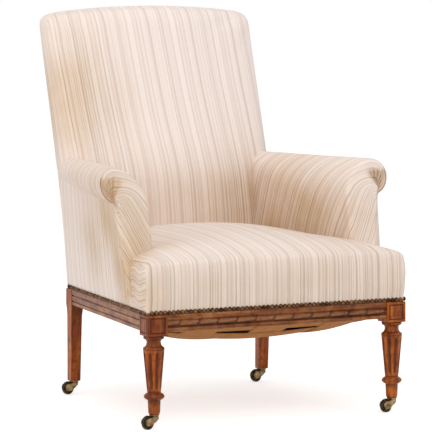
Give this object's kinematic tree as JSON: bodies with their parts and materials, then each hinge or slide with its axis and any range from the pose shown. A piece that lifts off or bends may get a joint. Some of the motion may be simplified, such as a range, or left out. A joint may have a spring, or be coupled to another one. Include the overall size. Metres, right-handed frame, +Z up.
{
  "type": "library armchair",
  "caption": "Upholstered armchair with a raked crowned back, outward-rolled scroll arms and a nailed sprung seat, on fluted front legs and square rear legs with swivel casters.",
  "frame": {"origin": "on the floor, under the middle of the chair's width and depth", "axes": "+Z up, the sitter faces -Y, +X to the right as seen from the front"},
  "size_m": [0.757, 0.8224, 0.9645],
  "materials": {
    "walnut": "worn polish",
    "beech": "unfinished",
    "brass": "dark antique",
    "striped_fabric": "woven stripe, over padding",
    "hessian": "coarse weave",
    "jute_webbing": "coarse weave",
    "spring_steel": "drawn wire"
  },
  "bodies": {
    "chair": {"front_left_leg": "walnut", "front_right_leg": "walnut", "rear_left_post": "walnut", "rear_right_post": "walnut", "front_seat_rail": "walnut", "left_seat_rail": "walnut", "right_seat_rail": "walnut", "rear_seat_rail": "beech", "front_left_corner_block": "beech", "front_right_corner_block": "beech", "rear_left_corner_block": "beech", "rear_right_corner_block": "beech", "crest_rail": "beech", "back_tacking_rail": "beech", "left_arm_stump": "beech", "right_arm_stump": "beech", "left_arm_rail": "beech", "right_arm_rail": "beech", "back_pad": "striped_fabric", "outside_back": "striped_fabric", "left_arm_pad": "striped_fabric", "right_arm_pad": "striped_fabric", "left_arm_facing": "striped_fabric", "right_arm_facing": "striped_fabric", "left_outside_arm": "striped_fabric", "right_outside_arm": "striped_fabric", "seat_pad": "striped_fabric", "spring_hessian": "hessian", "seat_webbing": "jute_webbing", "seat_spring_1": "spring_steel", "seat_spring_2": "spring_steel", "seat_spring_3": "spring_steel", "seat_spring_4": "spring_steel", "seat_spring_5": "spring_steel", "seat_spring_6": "spring_steel", "seat_spring_7": "spring_steel", "seat_spring_8": "spring_steel", "seat_spring_9": "spring_steel", "front_nail_row": "brass", "left_nail_row": "brass", "right_nail_row": "brass", "front_left_caster_plate": "brass", "front_right_caster_plate": "brass", "rear_left_caster_plate": "brass", "rear_right_caster_plate": "brass"},
    "front_left_horn": {"front_left_caster_horn": "brass", "front_left_caster_axle": "brass"},
    "front_left_wheel": {"front_left_caster_wheel": "brass"},
    "front_right_horn": {"front_right_caster_horn": "brass", "front_right_caster_axle": "brass"},
    "front_right_wheel": {"front_right_caster_wheel": "brass"},
    "rear_left_horn": {"rear_left_caster_horn": "brass", "rear_left_caster_axle": "brass"},
    "rear_left_wheel": {"rear_left_caster_wheel": "brass"},
    "rear_right_horn": {"rear_right_caster_horn": "brass", "rear_right_caster_axle": "brass"},
    "rear_right_wheel": {"rear_right_caster_wheel": "brass"}
  },
  "joints": [
    {"name": "front_left_swivel", "type": "hinge", "parent": "chair", "child": "front_left_horn", "pos_m": [-0.31, -0.38319, 0.0268], "axis": [0, 0, 1], "continuous": true},
    {"name": "front_left_roll", "type": "hinge", "parent": "front_left_horn", "child": "front_left_wheel", "pos_m": [-0.32948, -0.39047, 0.0165], "axis": [0.3502, -0.9367, 0], "continuous": true},
    {"name": "front_right_swivel", "type": "hinge", "parent": "chair", "child": "front_right_horn", "pos_m": [0.31, -0.38319, 0.0268], "axis": [0, 0, 1], "continuous": true},
    {"name": "front_right_roll", "type": "hinge", "parent": "front_right_horn", "child": "front_right_wheel", "pos_m": [0.29052, -0.39047, 0.0165], "axis": [0.3502, -0.9367, 0], "continuous": true},
    {"name": "rear_left_swivel", "type": "hinge", "parent": "chair", "child": "rear_left_horn", "pos_m": [-0.26, 0.24431, 0.0268], "axis": [0, 0, 1], "continuous": true},
    {"name": "rear_left_roll", "type": "hinge", "parent": "rear_left_horn", "child": "rear_left_wheel", "pos_m": [-0.27948, 0.23703, 0.0165], "axis": [0.3502, -0.9367, 0], "continuous": true},
    {"name": "rear_right_swivel", "type": "hinge", "parent": "chair", "child": "rear_right_horn", "pos_m": [0.26, 0.24431, 0.0268], "axis": [0, 0, 1], "continuous": true},
    {"name": "rear_right_roll", "type": "hinge", "parent": "rear_right_horn", "child": "rear_right_wheel", "pos_m": [0.24052, 0.23703, 0.0165], "axis": [0.3502, -0.9367, 0], "continuous": true}
  ]
}
